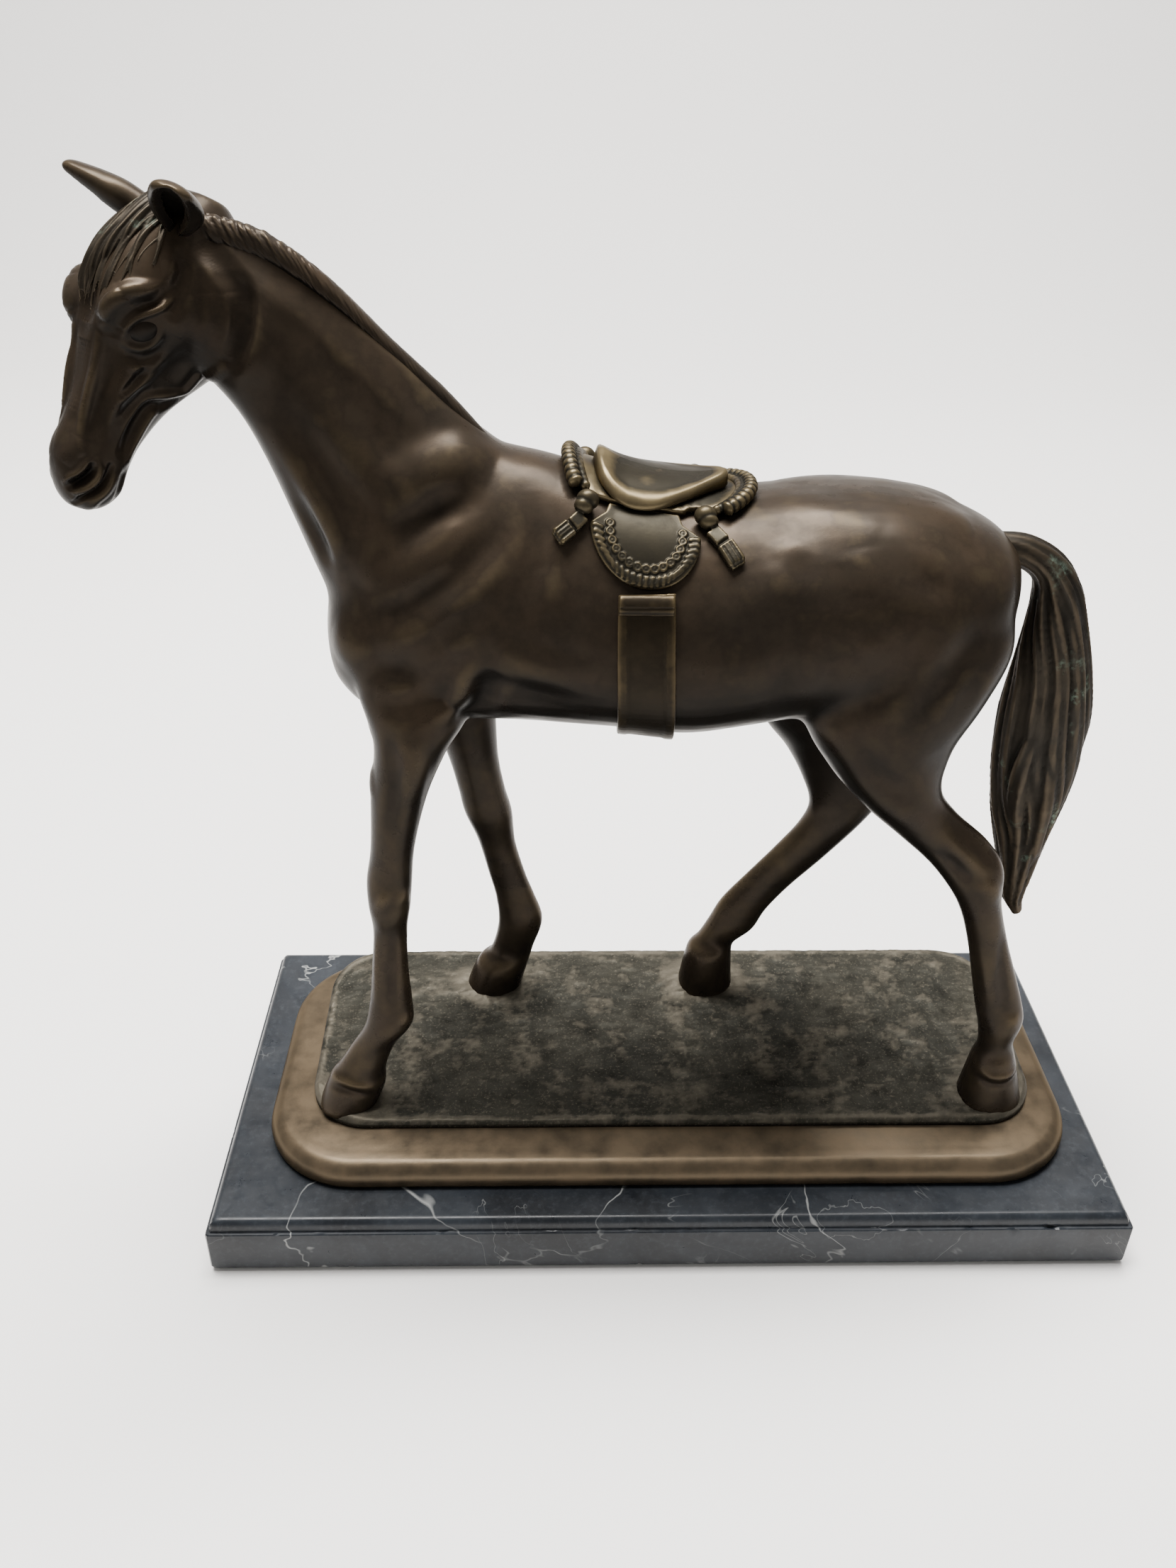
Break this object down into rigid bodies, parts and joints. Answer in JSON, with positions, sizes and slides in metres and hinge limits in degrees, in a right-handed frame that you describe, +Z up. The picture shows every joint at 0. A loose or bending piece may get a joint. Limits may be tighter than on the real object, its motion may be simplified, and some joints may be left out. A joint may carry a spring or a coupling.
{
  "type": "horse statuette",
  "caption": "Cast bronze walking horse with a dress saddle, on a textured bronze ground and skirt bolted to a moulded black marble plinth.",
  "frame": {"origin": "middle of the underside of the felt, on the surface that the statue stands on", "axes": "-X is the way the horse walks, +Y is its right (off) side, +Z is up"},
  "size_m": [0.3497, 0.153, 0.3521],
  "materials": {
    "horse_bronze": "dark brown patina, rubbed satin",
    "saddle_bronze": "golden brown patina, rubbed satin",
    "ground_bronze": "rough cast, grey-brown patina",
    "skirt_bronze": "brown patina, rubbed satin",
    "marble": "honed black marble, fine white veins",
    "felt": "green baize",
    "steel": "zinc plated"
  },
  "bodies": {
    "root": {"barrel": "horse_bronze", "neck": "horse_bronze", "head": "horse_bronze", "near_ear": "horse_bronze", "off_ear": "horse_bronze", "mane": "horse_bronze", "forelock": "horse_bronze", "near_foreleg": "horse_bronze", "off_foreleg": "horse_bronze", "near_hindleg": "horse_bronze", "off_hindleg": "horse_bronze", "tail": "horse_bronze", "saddle_blanket": "saddle_bronze", "saddle_seat": "saddle_bronze", "front_fringe_roll": "saddle_bronze", "rear_fringe_roll": "saddle_bronze", "near_saddle_flap": "saddle_bronze", "off_saddle_flap": "saddle_bronze", "near_front_tie": "saddle_bronze", "off_front_tie": "saddle_bronze", "near_rear_tie": "saddle_bronze", "off_rear_tie": "saddle_bronze", "girth": "saddle_bronze", "near_girth_keeper": "saddle_bronze", "off_girth_keeper": "saddle_bronze", "ground_plate": "ground_bronze", "base_skirt": "skirt_bronze", "marble_plinth": "marble", "felt_underlay": "felt", "fixing_stud_1": "steel", "washer_1": "steel", "nut_1": "steel", "fixing_stud_2": "steel", "washer_2": "steel", "nut_2": "steel", "fixing_stud_3": "steel", "washer_3": "steel", "nut_3": "steel", "fixing_stud_4": "steel", "washer_4": "steel", "nut_4": "steel"}
  },
  "joints": []
}
